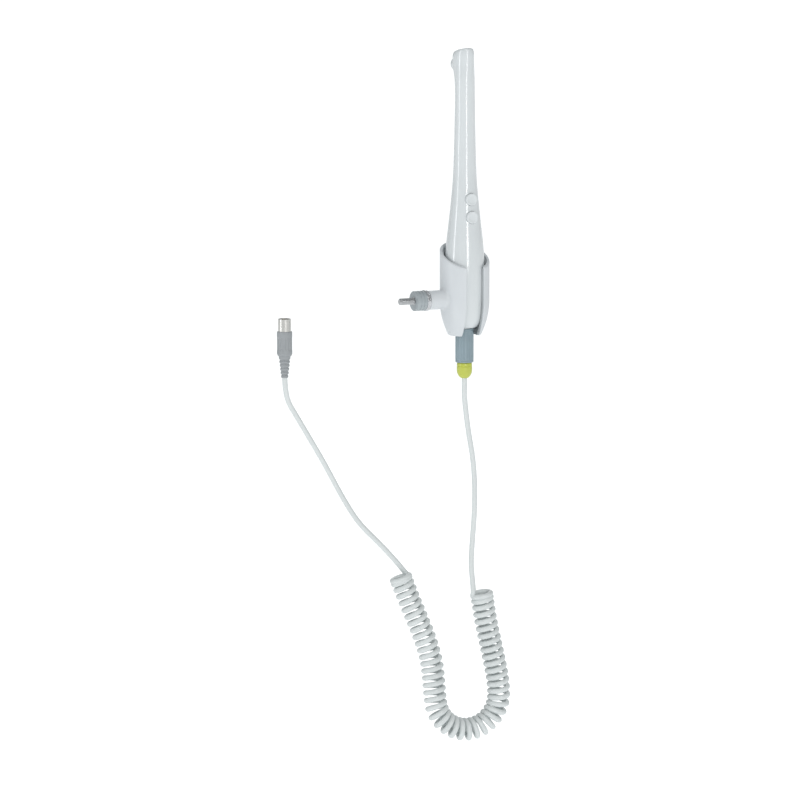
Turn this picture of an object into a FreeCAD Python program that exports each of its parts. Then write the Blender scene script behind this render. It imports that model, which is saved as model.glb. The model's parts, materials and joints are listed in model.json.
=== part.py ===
"""Intraoral camera on its cradle, with the curly cord and both of the cord's connectors.

The origin is the middle of the mounting face, where the cradle's swivel meets the side of a monitor.
+X points out of the monitor, -Y to the front, where the cradle's slot and the buttons are, and +Z up.
The handpiece stands upright in the cradle on an axis at X = axis_out. Sizes are millimetres.
"""

import FreeCAD, Part
import math
import os

import Sketcher

Vector = FreeCAD.Vector
Rotation = FreeCAD.Rotation

# The driving dimensions: the alias of each cell, its value and what it measures.
DIMENSIONS = [
    ("axis_out", 42.0, "mounting face to the handpiece's axis"),
    # swivel
    ("thread_radius", 2.5, "threaded end that goes into the monitor"),
    ("thread_length", 12.0, "how far the threaded end stands out"),
    ("shoulder_radius", 3.0, "smooth part of the bolt that the arm turns on"),
    ("running_gap", 0.08, "radial clearance of what turns"),
    ("free_gap", 0.3, "clearance between pieces that pass each other"),
    ("bushing_radius", 7.3, "grey bushing"),
    ("bushing_length", 8.0, "grey bushing"),
    ("ring_radius", 7.7, "bright friction ring"),
    ("ring_length", 2.8, "bright friction ring"),
    ("arm_radius", 7.0, "round arm of the cradle"),
    ("arm_turning", 9.5, "friction ring to the bolt's head"),
    ("bolt_head_radius", 4.4, "head of the shoulder bolt"),
    ("bolt_head_height", 2.6, "head of the shoulder bolt"),
    ("hex_radius", 1.9, "driving recess in the bolt's head"),
    ("washer_thickness", 0.7, "spring washer under the bolt's head"),
    ("recess_radius", 4.9, "recess for the bolt's head, in the arm and the cradle"),
    ("cover_thickness", 1.7, "cover over the bolt's head"),
    # cradle
    ("cradle_radius", 18.2, "outside of the cradle"),
    ("cradle_curve", 56.8, "arc from the cradle's straight wall down to its lower end"),
    ("cradle_straight", -1.0, "where the straight wall begins"),
    ("cradle_bottom", -27.0, "lower end of the cradle"),
    ("cradle_top", 45.0, "above the whole of the rim"),
    ("cradle_wall", 2.2, "cradle's wall"),
    ("liner_wall", 0.75, "soft liner"),
    ("slot_width", 14.0, "front slot, wide enough for the lock ring"),
    ("rim_middle", 31.6, "height of the slanting rim over the axis"),
    ("rim_slope", 26.0, "degrees that the rim slopes down to the front"),
    ("liner_drop", 2.5, "rim to the liner's top edge"),
    ("magnet_radius", 3.5, "parking magnet"),
    ("magnet_thickness", 1.2, "parking magnet"),
    ("magnet_height", 6.0, "centre of the magnet over the axis of the arm"),
    # handpiece
    ("shell_wall", 1.6, "handpiece's shells"),
    ("button_radius", 4.5, "both buttons"),
    ("button_proud", 1.0, "how far a button stands out of the shell"),
    ("capture_height", 73.0, "centre of the capture button"),
    ("capture_surface", 10.0, "shell's radius at the capture button"),
    ("mode_height", 60.0, "centre of the mode button"),
    ("mode_surface", 11.4, "shell's radius at the mode button"),
    ("flange_at", 5.9, "axis to the outer side of a button's flange"),
    ("flange_thickness", 0.9, "a button's flange"),
    ("plunger_end", 4.0, "axis to the end of a button's plunger"),
    ("plunger_radius", 1.6, "plunger of a button"),
    ("board_width", 12.0, "main circuit board"),
    ("board_thickness", 1.2, "all circuit boards"),
    ("board_bottom", -8.0, "lower edge of the main board"),
    ("board_length", 100.0, "main board"),
    ("board_back", 0.6, "axis to the board's front side"),
    ("flex_width", 5.0, "flat cable up the neck"),
    ("flex_thickness", 0.3, "flat cable up the neck"),
    ("lens_height", 170.5, "optical axis over the arm's axis"),
    ("bezel_radius", 5.5, "white ring round the window"),
    ("bezel_wall", 0.9, "white ring round the window"),
    ("bezel_start", 6.5, "axis to the bezel's inner end"),
    ("bezel_end", 12.0, "axis to the bezel's outer end"),
    ("window_thickness", 1.0, "glass window"),
    ("window_inset", 0.7, "window below the bezel's edge"),
    ("barrel_radius", 2.6, "objective"),
    ("led_count", 8.0, "white light-emitting diodes round the objective"),
    # connector under the handpiece
    ("shell_bottom", -21.5, "lower end of the shells"),
    ("socket_radius", 5.2, "threaded socket"),
    ("socket_length", 11.5, "threaded socket below the shells"),
    ("socket_bore", 3.9, "threaded socket"),
    ("socket_collar", 5.75, "socket where it passes the shells"),
    ("socket_flange", 7.8, "socket's flange inside the shells"),
    ("flange_height", 1.9, "shells' lower end to the socket's flange"),
    ("lock_radius", 6.7, "lock ring"),
    ("lock_length", 25.0, "lock ring"),
    ("plug_radius", 4.5, "plug body inside the lock ring"),
    ("core_radius", 3.7, "insulator of the plug"),
    ("pin_radius", 0.45, "contact pins"),
    ("pin_circle", 2.2, "circle of the contact pins"),
    ("pin_count", 5.0, "contact pins"),
    ("boot_radius", 5.7, "strain relief"),
    ("boot_length", 11.4, "strain relief below the lock ring"),
    # cord
    ("cord_radius", 2.0, "round cord"),
    ("coil_radius", 8.7, "outside of the curly part"),
    # connector at the monitor's end
    ("far_boot_length", 16.0, "tapered strain relief"),
    ("far_grip_radius", 5.6, "moulded grip"),
    ("far_grip_length", 18.0, "moulded grip"),
    ("far_shell_radius", 4.75, "metal shell"),
    ("far_shell_length", 9.0, "metal shell"),
    ("far_shell_wall", 0.5, "metal shell"),
]

# Cross-sections of the handpiece from its lower end up: height over the arm's axis, half the width,
# half the depth, how far the section's middle is behind the axis, and its backward slope in degrees.
HANDPIECE = [
    (-21.5, 7.6, 7.6, 0.0, 0.0),
    (-20.2, 9.7, 9.7, 0.0, 0.0),
    (-17.0, 11.8, 11.8, 0.0, 0.0),
    (-11.5, 13.5, 13.5, 0.0, 0.0),
    (-2.0, 14.6, 14.6, 0.0, 0.0),
    (12.0, 14.9, 14.9, 0.0, 0.0),
    (26.0, 14.55, 14.55, 0.0, 0.0),
    (39.0, 13.7, 13.7, 0.0, 0.0),
    (54.0, 12.05, 12.05, 0.0, 0.0),
    (70.0, 10.3, 10.3, 0.0, 0.0),
    (88.0, 8.75, 8.75, 0.0, 0.0),
    (108.0, 8.0, 8.0, 0.0, 0.0),
    (130.0, 7.5, 7.5, 0.0, 0.0),
    (150.0, 7.2, 7.25, 0.05, 0.0),
    (160.0, 7.25, 7.8, 0.6, 0.0),
    (167.5, 7.3, 9.1, 2.0, 0.0),
    (173.5, 7.3, 9.6, 2.6, 2.0),
    (178.3, 7.2, 9.4, 2.5, 9.0),
    (180.9, 6.4, 8.6, 2.4, 13.0),
    (181.8, 4.9, 7.0, 2.4, 14.0),
]

ARM_START = "bushing_length + ring_length + free_gap"  # where the arm starts, from the mounting face
ARM_HEAD = f"{ARM_START} + arm_turning"  # where the bolt's head starts
LOCK_BOTTOM = "shell_bottom - 0.5 - lock_length"
SCRATCH_CELL = "D1"  # cleared again before the parts are written
REACH = 120.0  # longer than anything that a cutting tool has to pass through

# The cord's route, from the strain relief down to the curly part.
LEAD = [
    (42.0, 0.0, -58.6),
    (42.0, 0.0, -74.0),
    (45.2, 0.0, -98.0),
    (49.4, 0.2, -118.0),
    (51.2, 0.4, -139.0),
    (51.0, 0.6, -160.0),
    (49.4, 0.9, -180.0),
    (48.4, 1.3, -198.0),
    (51.0, 1.7, -212.8),
    (52.6, 2.0, -221.9),
]
# The middle of the curly part, which hangs in a U.
COIL = [
    (58.0, 2.0, -221.0),
    (61.0, 2.5, -238.0),
    (65.2, 3.1, -254.5),
    (69.6, 3.8, -271.0),
    (73.6, 4.6, -287.5),
    (75.0, 5.6, -303.5),
    (69.4, 7.0, -315.2),
    (58.7, 8.6, -322.6),
    (45.7, 10.4, -323.6),
    (34.0, 12.2, -318.2),
    (26.5, 14.0, -307.6),
    (25.6, 15.4, -292.4),
    (24.6, 17.0, -272.0),
    (20.4, 18.9, -255.5),
    (14.2, 20.9, -239.0),
    (7.8, 23.0, -223.0),
    (2.6, 25.0, -208.0),
]
# From the curly part up to the plug behind the monitor.
MONITOR_LEAD = [
    (4.6, 25.1, -207.1),
    (-0.3, 27.0, -193.0),
    (-13.5, 29.2, -181.0),
    (-29.0, 32.4, -165.5),
    (-41.6, 35.2, -144.4),
    (-53.2, 38.0, -121.5),
    (-65.0, 40.2, -101.0),
    (-74.6, 42.2, -84.5),
    (-83.0, 44.0, -70.0),
    (-83.0, 44.0, -56.0),
]
FLUTES = 18  # round the lock ring
SPLIT_SHARE = 0.5  # the lead divides this far along its second run
BEND_SHARE = 0.45  # of the shorter run that each bend takes up

ALONG = {
    "X": Rotation(Vector(0, 1, 0), 90),
    "Y": Rotation(Vector(1, 0, 0), -90),
    "Z": Rotation(),
}

doc = FreeCAD.newDocument("intraoral_camera")
finished = []  # the objects that are written out, one for each sub-part


def make_sheet():
    """The spreadsheet of driving dimensions, with the cross-sections below them."""
    sheet = doc.addObject("Spreadsheet::Sheet", "Dims")
    rows = [(alias, value) for alias, value, _ in DIMENSIONS]
    for index, section in enumerate(HANDPIECE):
        for word, value in zip(("height", "width", "depth", "shift"), section):
            rows.append((f"grip_{word}_{index}", value))
    for row, (alias, value) in enumerate(rows, start=1):
        sheet.set(f"A{row}", alias)
        sheet.set(f"B{row}", str(value))
        sheet.setAlias(f"B{row}", alias)
    doc.recompute()
    return sheet


SHEET = make_sheet()


def number(formula):
    """The size that a formula of the sheet's aliases comes to, worked out in a scratch cell."""
    SHEET.set(SCRATCH_CELL, f"={formula}")
    SHEET.recompute()
    return float(SHEET.get(SCRATCH_CELL))


def with_sheet(formula):
    """The formula with the sheet's name before each alias, as an expression needs it."""
    words = []
    for word in str(formula).replace("(", "( ").replace(")", " )").split():
        bare = word.lstrip("-")
        sign = "-" if word.startswith("-") and bare else ""
        words.append(f"{sign}Dims.{bare}" if bare[:1].isalpha() else word)
    return " ".join(words)


def bind(item, **formulas):
    for name, formula in formulas.items():
        item.setExpression(name, with_sheet(formula))


def place(item, x="0", y="0", z="0", along="Z"):
    """Puts an object at a point given by three formulas, with its own Z along one of the axes."""
    item.Placement = FreeCAD.Placement(Vector(), ALONG[along])
    item.setExpression("Placement.Base.x", with_sheet(x))
    item.setExpression("Placement.Base.y", with_sheet(y))
    item.setExpression("Placement.Base.z", with_sheet(z))
    return item


def finish(item, label):
    item.Label = label
    finished.append(item)
    return item


def around(radius, index, count):
    """Formulas for one of several places spread evenly round a circle: along it and across it."""
    turn = 2 * math.pi * index / count
    return f"( {radius} ) * {math.cos(turn):.6f}", f"( {radius} ) * {math.sin(turn):.6f}"


def cylinder(name, radius, height, x="axis_out", y="0", z="0", along="Z"):
    item = doc.addObject("Part::Cylinder", name)
    bind(item, Radius=radius, Height=height)
    return place(item, x, y, z, along)


def box(name, width, depth, height, x, y, z):
    """A box whose x and y formulas give its middle, and z its lower face."""
    item = doc.addObject("Part::Box", name)
    bind(item, Length=width, Width=depth, Height=height)
    return place(item, f"{x} - ( {width} ) / 2", f"{y} - ( {depth} ) / 2", z)


def cut(name, base, tools):
    item = doc.addObject("Part::Cut", name)
    item.Base = base
    item.Tool = tools[0] if len(tools) == 1 else fuse(f"{name}_tools", tools)
    return item


def fuse(name, shapes):
    item = doc.addObject("Part::MultiFuse", name)
    item.Shapes = shapes
    return item


def common(name, shapes):
    item = doc.addObject("Part::MultiCommon", name)
    item.Shapes = shapes
    return item


def group(label, shapes):
    """Several separate solids in one sub-part."""
    item = doc.addObject("Part::Compound", label)
    item.Links = shapes
    return finish(item, label)


def origin_plane(body, role):
    return next(item for item in body.Origin.OriginFeatures if item.Role == role)


def outline(sketch, corners, arcs):
    """A closed outline with its corners bound to formulas of the sheet. The side that leaves a
    corner named in arcs is an arc of that radius, bulging away from the turning axis."""
    doc.recompute()
    count = len(corners)
    points = [Vector(number(across), number(up), 0) for across, up in corners]
    for index, start in enumerate(points):
        end = points[(index + 1) % count]
        side = Part.LineSegment(start, end)
        if index in arcs:
            radius = number(arcs[index])
            chord = end - start
            outward = Vector(chord.y, -chord.x, 0).normalize()
            rise = radius - math.sqrt(radius ** 2 - chord.Length ** 2 / 4)
            side = Part.Arc(start, start + chord / 2 + outward * rise, end)
        sketch.addGeometry(side, False)
    for index in range(count):
        sketch.addConstraint(Sketcher.Constraint("Coincident", index, 2, (index + 1) % count, 1))
    for index, pair in enumerate(corners):
        for kind, axis, formula in zip(("DistanceX", "DistanceY"), (-2, -1), pair):
            if formula == "0":
                sketch.addConstraint(Sketcher.Constraint("PointOnObject", index, 1, axis))
                continue
            size = points[index].x if kind == "DistanceX" else points[index].y
            which = sketch.addConstraint(Sketcher.Constraint(kind, -1, 1, index, 1, size))
            sketch.setExpression(f"Constraints[{which}]", with_sheet(formula))
    for index, formula in arcs.items():
        which = sketch.addConstraint(Sketcher.Constraint("Radius", index, number(formula)))
        sketch.setExpression(f"Constraints[{which}]", with_sheet(formula))


def turned(label, corners, x="axis_out", y="0", z="0", along="Z", keep=True, arcs=None):
    """A turned piece: its outline in radius and height over its own lower end, all the way round."""
    body = doc.addObject("PartDesign::Body", label)
    sketch = body.newObject("Sketcher::SketchObject", f"{label}_outline")
    sketch.AttachmentSupport = [(origin_plane(body, "XZ_Plane"), "")]
    sketch.MapMode = "FlatFace"
    outline(sketch, corners, arcs or {})
    turn = body.newObject("PartDesign::Revolution", f"{label}_turn")
    turn.Profile = sketch
    turn.ReferenceAxis = (sketch, ["V_Axis"])
    turn.Angle = 360.0
    body.Tip = turn
    place(body, x, y, z, along)
    return finish(body, label) if keep else body


def loft(name, sections):
    """A smooth solid through sections given as (height, half width, half depth, shift, slope)."""
    ellipses = []
    for index, (height, width, depth, shift, slope) in enumerate(sections):
        item = doc.addObject("Part::Ellipse", f"{name}_section_{index}")
        item.MajorRadius = 1000.0
        bind(item, MinorRadius=width, MajorRadius=depth)
        tilt = Rotation(Vector(1, 0, 0), -slope).multiply(Rotation(Vector(0, 0, 1), 90))
        item.Placement = FreeCAD.Placement(Vector(), tilt)
        item.setExpression("Placement.Base.x", with_sheet("axis_out"))
        item.setExpression("Placement.Base.y", with_sheet(shift))
        item.setExpression("Placement.Base.z", with_sheet(height))
        ellipses.append(item)
    item = doc.addObject("Part::Loft", name)
    item.Sections = ellipses
    item.Solid = True
    item.Ruled = False
    return item


# ---------------------------------------------------------------- swivel on the monitor


def pivot_bolt():
    """Shoulder bolt that screws into the monitor; the cradle's arm turns on its shoulder."""
    shank = "thread_length"
    neck = f"thread_length + {ARM_HEAD}"
    bolt = turned("bolt_blank", [
        ("0", "0"),
        ("thread_radius", "0"),
        ("thread_radius", shank),
        ("shoulder_radius", shank),
        ("shoulder_radius", neck),
        ("bolt_head_radius", neck),
        ("bolt_head_radius", f"{neck} + bolt_head_height"),
        ("0", f"{neck} + bolt_head_height"),
    ], x="-thread_length", along="X", keep=False)
    recess = doc.addObject("Part::Prism", "bolt_recess")
    recess.Polygon = 6
    bind(recess, Circumradius="hex_radius", Height="bolt_head_height")
    place(recess, f"{ARM_HEAD} + 1", along="X")
    return finish(cut("pivot_bolt", bolt, [recess]), "pivot_bolt")


def ring_on_shoulder(label, radius, length, start):
    bore = "shoulder_radius + 0.02"
    return turned(label, [
        (bore, "0"),
        (radius, "0"),
        (radius, length),
        (bore, length),
    ], x=start, along="X")


def swivel():
    pivot_bolt()
    ring_on_shoulder("swivel_bushing", "bushing_radius", "bushing_length", "0")
    ring_on_shoulder("friction_ring", "ring_radius", "ring_length", "bushing_length")
    ring_on_shoulder(
        "spring_washer", "bolt_head_radius", "washer_thickness",
        f"{ARM_HEAD} - washer_thickness",
    )


# ---------------------------------------------------------------- cradle


def bowl(name, inset):
    """The cradle's outside, or the surface that lies inset within it."""
    below = (f"cradle_radius - cradle_curve + ( ( cradle_curve - {inset} ) ^ 2"
             " - ( cradle_straight - cradle_bottom ) ^ 2 ) ^ 0.5")
    return turned(name, [
        ("0", "0"),
        (below, "0"),
        (f"cradle_radius - {inset}", "cradle_straight - cradle_bottom"),
        (f"cradle_radius - {inset}", "cradle_top - cradle_bottom"),
        ("0", "cradle_top - cradle_bottom"),
    ], z="cradle_bottom", keep=False, arcs={1: f"cradle_curve - {inset}"})


def above_rim(name, drop):
    """Everything above the slanting rim, or above a plane that lies drop lower."""
    item = doc.addObject("Part::Box", name)
    item.Length = item.Width = item.Height = REACH
    slope = Rotation(Vector(1, 0, 0), number("rim_slope"))
    item.Placement = FreeCAD.Placement(Vector(), slope)
    corner = slope.multVec(Vector(-REACH / 2, -REACH / 2, 0))
    item.setExpression("Placement.Base.x", with_sheet(f"axis_out + ( {corner.x} )"))
    item.setExpression("Placement.Base.y", with_sheet(f"0 + ( {corner.y} )"))
    item.setExpression("Placement.Base.z", with_sheet(f"rim_middle - {drop} + ( {corner.z} )"))
    return item


def front_slot(name):
    """The slot down the front, through the bottom too, so that the lock ring can pass."""
    item = doc.addObject("Part::Box", name)
    bind(item, Length="slot_width")
    item.Width = REACH
    item.Height = REACH
    return place(item, "axis_out - slot_width / 2", str(-REACH), str(-REACH / 2))


def cradle_shell():
    inner = bowl("cradle_inside", "cradle_wall")
    magnet_back = "cradle_radius - cradle_wall + 0.3 + magnet_thickness"
    tools = [
        inner,
        above_rim("above_cradle", "0"),
        front_slot("cradle_slot"),
        cylinder("cradle_recess", "recess_radius", "15", x="axis_out - 24", along="X"),
        cylinder("magnet_pocket", "magnet_radius + 0.1", f"{magnet_back} - 10",
                 y="10", z="magnet_height", along="Y"),
    ]
    return finish(cut("cradle_shell", bowl("cradle_outside", "0"), tools), "cradle_shell")


def cradle_liner():
    outside = bowl("liner_outside", "( cradle_wall + 0.02 )")
    tools = [
        bowl("liner_inside", "( cradle_wall + liner_wall )"),
        above_rim("above_liner", "liner_drop"),
        front_slot("liner_slot"),
    ]
    return finish(cut("cradle_liner", outside, tools), "cradle_liner")


def cradle_arm():
    """Round arm; its end is hollowed to sit on the cradle, and it holds the bolt's head."""
    blank = cylinder("arm_blank", "arm_radius", f"axis_out - ( {ARM_START} ) - 10", x=ARM_START, along="X")
    tools = [
        cylinder("arm_bore", "shoulder_radius + running_gap", "30", x=f"{ARM_START} - 1", along="X"),
        cylinder("arm_recess", "recess_radius", "30",
                 x=f"{ARM_HEAD} - washer_thickness - free_gap", along="X"),
        cylinder("arm_saddle", "cradle_radius", "60", z="-30"),
    ]
    return finish(cut("cradle_arm", blank, tools), "cradle_arm")


def cradle():
    cradle_shell()
    cradle_liner()
    cradle_arm()
    finish(cylinder("bolt_cover", "recess_radius - 0.1", "cover_thickness",
                    x="axis_out - cradle_radius + 0.2", along="X"), "bolt_cover")
    finish(cylinder("parking_magnet", "magnet_radius", "magnet_thickness",
                    y="cradle_radius - cradle_wall + 0.25", z="magnet_height", along="Y"),
           "parking_magnet")


# ---------------------------------------------------------------- handpiece


def grip_loft(name, inset, first, last):
    """The handpiece's outside, or its inside when inset is the wall's thickness."""
    sections = []
    for index in range(first, last):
        sections.append((
            f"grip_height_{index}",
            f"grip_width_{index} - {inset}",
            f"grip_depth_{index} - {inset}",
            f"grip_shift_{index}",
            HANDPIECE[index][4],
        ))
    return loft(name, sections)


def half_space(name, front):
    """A block that holds the front half of the handpiece, or the back half."""
    item = doc.addObject("Part::Box", name)
    item.Length = item.Width = item.Height = 2 * REACH
    return place(item, f"axis_out - {REACH}", str(-2 * REACH if front else 0), "shell_bottom - 5")


def shells():
    """The two halves of the handpiece's case, hollow, with the holes for what shows through them."""
    outside = grip_loft("grip_outside", "0", 0, len(HANDPIECE))
    inside = grip_loft("grip_inside", "shell_wall", 2, len(HANDPIECE) - 2)
    tail_hole = cylinder("tail_hole", "socket_collar + 0.05", "10", z="shell_bottom - 1")
    tail_room = cylinder("tail_room", "socket_flange + 0.1", "4", z="shell_bottom + flange_height")
    hollow = cut("grip_hollow", outside, [inside, tail_hole, tail_room])
    holes = [
        cylinder(f"{word}_hole", "button_radius + free_gap", "18", y="-20", z=f"{word}_height", along="Y")
        for word in ("capture", "mode")
    ]
    holes.append(cylinder("lens_hole", "bezel_radius + 0.05", "20", y="bezel_start - 2",
                          z="lens_height", along="Y"))
    case = cut("grip_case", hollow, holes)
    finish(common("front_shell", [case, half_space("front_space", True)]), "front_shell")
    finish(common("rear_shell", [case, half_space("rear_space", False)]), "rear_shell")


def button(label, height, surface):
    """A round button: cap, inner flange and plunger, turned round the line that it travels on."""
    face = f"{surface} + button_proud"
    return turned(label, [
        ("0", "0"),
        ("button_radius - 0.6", "0"),
        ("button_radius", "0.6"),
        ("button_radius", f"{face} - flange_at"),
        ("button_radius + 0.7", f"{face} - flange_at"),
        ("button_radius + 0.7", f"{face} - flange_at + flange_thickness"),
        ("plunger_radius", f"{face} - flange_at + flange_thickness"),
        ("plunger_radius", f"{face} - plunger_end"),
        ("0", f"{face} - plunger_end"),
    ], y=f"-( {face} )", z=height, along="Y")


def electronics():
    """The main board in the grip with what is on it, and the flat cable up the neck."""
    finish(box("main_board", "board_width", "board_thickness", "board_length",
               "axis_out", "board_back + board_thickness / 2", "board_bottom"), "main_board")
    behind = "board_back + board_thickness"
    group("board_chips", [
        box("processor", "9", "1.4", "9", "axis_out", f"{behind} + 0.7", "22"),
        box("memory_chip", "6", "1.1", "8", "axis_out", f"{behind} + 0.55", "40"),
        box("power_coil", "5", "2.6", "5", "axis_out", f"{behind} + 1.3", "8"),
    ])
    switches = []
    for word in ("capture", "mode"):
        height = f"{word}_height"
        switches.append(fuse(f"{word}_switch", [
            box(f"{word}_switch_base", "5", "2.5", "5", "axis_out", "board_back - 1.25", f"{height} - 2.5"),
            cylinder(f"{word}_switch_stem", "1.2", "1.5", y="-2.9", z=height, along="Y"),
        ]))
    group("tact_switches", switches)
    finish(cylinder("parking_sensor", "1.1", "12", y=f"{behind} + 1.1", z="-7"), "parking_sensor")
    finish(box("flex_cable", "flex_width", "flex_thickness", "76",
               "axis_out", f"{behind} + flex_thickness / 2", "89"), "flex_cable")


def lens_ring(label, outer, inner, start, end, keep=True):
    """A ring round the optical axis, from one distance behind the handpiece's axis to another."""
    return turned(label, [
        (inner, "0"),
        (outer, "0"),
        (outer, f"{end} - ( {start} )"),
        (inner, f"{end} - ( {start} )"),
    ], y=start, z="lens_height", along="Y", keep=keep)


def optics():
    """Sensor, objective, light ring and window, one behind another along the optical axis."""
    finish(box("sensor_board", "9", "board_thickness", "9", "axis_out",
               "-board_thickness / 2", "lens_height - 4.5"), "sensor_board")
    finish(box("image_sensor", "6", "1.2", "6", "axis_out", "0.6", "lens_height - 3"), "image_sensor")
    cup = lens_ring("lens_cup", "5", "4.4", "0", "3", keep=False)
    lid = lens_ring("lens_lid", "5", "barrel_radius + 0.02", "3", "4", keep=False)
    finish(fuse("lens_holder", [cup, lid]), "lens_holder")
    lens_ring("lens_barrel", "barrel_radius", "barrel_radius - 0.6", "1.8", "8.8")
    finish(cylinder("front_lens", "barrel_radius - 0.62", "0.9", y="7.7", z="lens_height", along="Y"),
           "front_lens")
    lens_ring("led_board", "4.5", "barrel_radius + 0.05", "7.2", "8")
    leds = []
    count = int(number("led_count"))
    for index in range(count):
        across, up = around("3.6", index + 0.5, count)
        leds.append(cylinder(f"led_{index}", "0.55", "0.7", x=f"axis_out + {across}",
                             y="8", z=f"lens_height + {up}", along="Y"))
    group("ring_leds", leds)
    lens_ring("lens_bezel", "bezel_radius", "bezel_radius - bezel_wall", "bezel_start", "bezel_end")
    finish(cylinder("lens_window", "bezel_radius - bezel_wall - 0.02", "window_thickness",
                    y="bezel_end - window_inset - window_thickness", z="lens_height", along="Y"),
           "lens_window")


# ---------------------------------------------------------------- connector under the handpiece


def pin_ring(name, radius, length, bottom, x="axis_out", y="0"):
    """The connector's contacts, or the holes for them, evenly round a circle."""
    pins = []
    count = int(number("pin_count"))
    for index in range(count):
        across, back = around("pin_circle", index, count)
        pins.append(cylinder(f"{name}_{index}", radius, length, x=f"{x} + {across}",
                             y=f"{y} + {back}", z=bottom))
    return pins


def socket():
    """The threaded socket in the handpiece's lower end, with its insulator and contacts."""
    collar_end = "socket_length + flange_height"
    turned("tail_socket", [
        ("socket_bore", "0"),
        ("socket_radius", "0"),
        ("socket_radius", "socket_length"),
        ("socket_collar", "socket_length"),
        ("socket_collar", collar_end),
        ("socket_flange", collar_end),
        ("socket_flange", f"{collar_end} + 2"),
        ("socket_bore", f"{collar_end} + 2"),
    ], z="shell_bottom - socket_length")
    blank = cylinder("insulator_blank", "socket_bore - 0.1", "10.5", z="shell_bottom - 5.5")
    holes = pin_ring("insulator_hole", "pin_radius + 0.05", "14", "shell_bottom - 7")
    finish(cut("socket_insulator", blank, holes), "socket_insulator")
    group("socket_contacts", pin_ring("contact", "pin_radius", "8", "shell_bottom + 0.5"))


def cable_plug():
    """The cable's half of the connector: insulator, pins, body, and the strain relief below it."""
    blank = cylinder("core_blank", "core_radius", "8.7", z="shell_bottom - 14.5")
    holes = pin_ring("core_hole", "pin_radius + 0.02", "12", "shell_bottom - 16")
    finish(cut("plug_core", blank, holes), "plug_core")
    group("plug_pins", pin_ring("pin", "pin_radius", "15.8", "shell_bottom - 15.5"))
    turned("plug_body", [
        ("core_radius + 0.05", "0"),
        ("plug_radius", "0"),
        ("plug_radius", "13.1"),
        ("socket_radius - 0.2", "13.1"),
        ("socket_radius - 0.2", "13.9"),
        ("core_radius + 0.05", "13.9"),
    ], z=LOCK_BOTTOM)
    turned("cable_boot", [
        ("0", "0"),
        ("boot_radius - 2.9", "0"),
        ("boot_radius", "5.8"),
        ("boot_radius", "9.4"),
        ("boot_radius - 0.5", "boot_length"),
        ("core_radius - 0.1", "boot_length"),
        ("core_radius - 0.1", "boot_length + 8"),
        ("0", "boot_length + 8"),
    ], z=f"{LOCK_BOTTOM} - 0.2 - boot_length", arcs={1: "boot_radius + 1.55", 3: "4"})


def lock_ring():
    """The fluted ring that screws on to the socket and holds the plug in it."""
    ledge = "lock_length - socket_length - 0.7"
    blank = turned("lock_blank", [
        ("plug_radius + 0.1", "0"),
        ("lock_radius - 0.4", "0"),
        ("lock_radius", "0.5"),
        ("lock_radius", "lock_length - 0.5"),
        ("lock_radius - 0.4", "lock_length"),
        ("socket_radius + 0.1", "lock_length"),
        ("socket_radius + 0.1", ledge),
        ("plug_radius + 0.1", ledge),
    ], z=LOCK_BOTTOM, keep=False)
    flutes = []
    for index in range(FLUTES):
        across, back = around("lock_radius + 0.25", index, FLUTES)
        flutes.append(cylinder(f"flute_{index}", "0.6", "lock_length - 5",
                               x=f"axis_out + {across}", y=back, z=f"{LOCK_BOTTOM} + 2.5"))
    finish(cut("lock_ring", blank, flutes), "lock_ring")


# ---------------------------------------------------------------- cord and the monitor's plug


def path_of(points):
    """Straight runs joined by tangent arcs, as one wire, and the radius of each arc."""
    edges = []
    radii = []
    here = points[0]
    for before, corner, after in zip(points, points[1:], points[2:]):
        run_in = corner - before
        run_out = after - corner
        turn = run_in.getAngle(run_out)
        trim = BEND_SHARE * min(run_in.Length, run_out.Length)
        radius = trim / math.tan(turn / 2)
        heading_in = run_in / run_in.Length
        heading_out = run_out / run_out.Length
        inward = heading_out - heading_in
        middle = corner + inward / inward.Length * (math.hypot(radius, trim) - radius)
        start = corner - heading_in * trim
        end = corner + heading_out * trim
        edges.append(Part.LineSegment(here, start).toShape())
        edges.append(Part.Arc(start, middle, end).toShape())
        radii.append(radius)
        here = end
    edges.append(Part.LineSegment(here, points[-1]).toShape())
    return Part.Wire(edges), radii


def tube(label, points, radius):
    path, radii = path_of(points)
    heading = points[1] - points[0]
    ring = Part.Wire([Part.makeCircle(radius, points[0], heading)])
    solid = path.makePipeShell([ring], True, True)
    item = doc.addObject("Part::Feature", label)
    item.Shape = solid
    expected = math.pi * radius ** 2 * path.Length
    print(f"{label}: {path.Length:.1f} mm long, bends from {min(radii):.1f} mm, "
          f"volume {solid.Volume / expected:.3f} of section times length")
    return finish(item, label)


def cord():
    radius = number("cord_radius")
    lead = [Vector(*point) for point in LEAD]
    run = lead[2] - lead[1]
    split = lead[1] + run * SPLIT_SHARE
    clear = run / run.Length * number("free_gap")
    tube("cord_lead_upper", lead[:2] + [split], radius)
    tube("cord_lead_lower", [split + clear] + lead[2:], radius)
    tube("cord_curly", [Vector(*point) for point in COIL], number("coil_radius"))
    tube("cord_monitor_lead", [Vector(*point) for point in MONITOR_LEAD], radius)


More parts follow.
